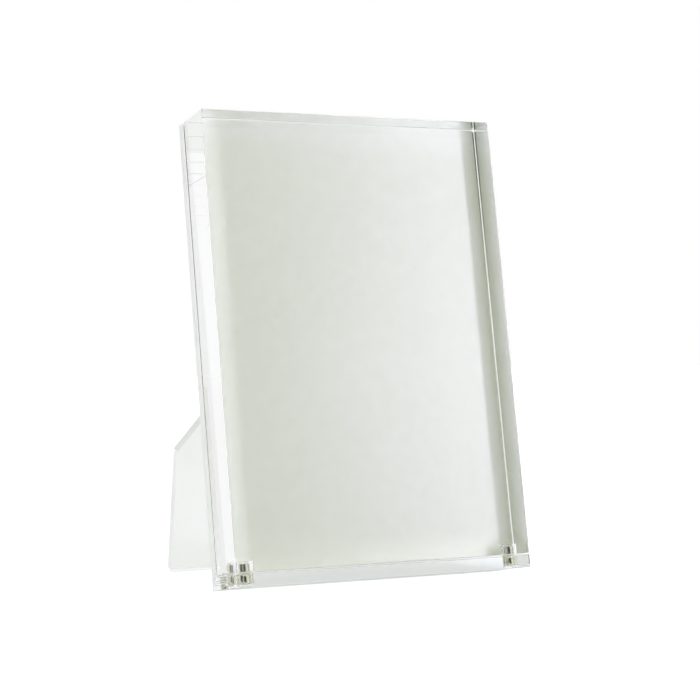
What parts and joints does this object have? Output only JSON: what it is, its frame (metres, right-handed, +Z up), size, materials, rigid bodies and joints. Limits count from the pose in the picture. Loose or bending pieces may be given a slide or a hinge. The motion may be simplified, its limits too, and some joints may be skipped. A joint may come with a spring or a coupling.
{
  "type": "acrylic photo frame",
  "caption": "Clear acrylic block frame: a thick block held by magnets on a ledge covers a picture card, with a back plate and a fixed easel strut behind.",
  "frame": {"origin": "centre of the bounding box on the table: midway across the frame, and midway from the ledge's front to the strut's foot", "axes": "+Z up from the table, +Y from the picture side to the back, +X to the right as the picture is looked at"},
  "size_m": [0.127, 0.0834, 0.1847],
  "materials": {
    "clear_acrylic": "polished",
    "insert_card": "matte",
    "nickel_plating": "polished"
  },
  "bodies": {
    "stand": {"back_plate": "clear_acrylic", "base_ledge": "clear_acrylic", "easel_leg": "clear_acrylic", "ledge_magnet_left": "nickel_plating", "ledge_magnet_right": "nickel_plating"},
    "block": {"front_block": "clear_acrylic", "block_magnet_left": "nickel_plating", "block_magnet_right": "nickel_plating"},
    "insert": {"photo_insert": "insert_card"}
  },
  "joints": [
    {"name": "block_pull", "type": "slide", "parent": "stand", "child": "block", "axis": [0, -0.9816, 0.1908], "range_m": [0, 0.05]},
    {"name": "insert_lift", "type": "slide", "parent": "stand", "child": "insert", "axis": [0, 0.1908, 0.9816], "range_m": [0, 0.18]}
  ]
}
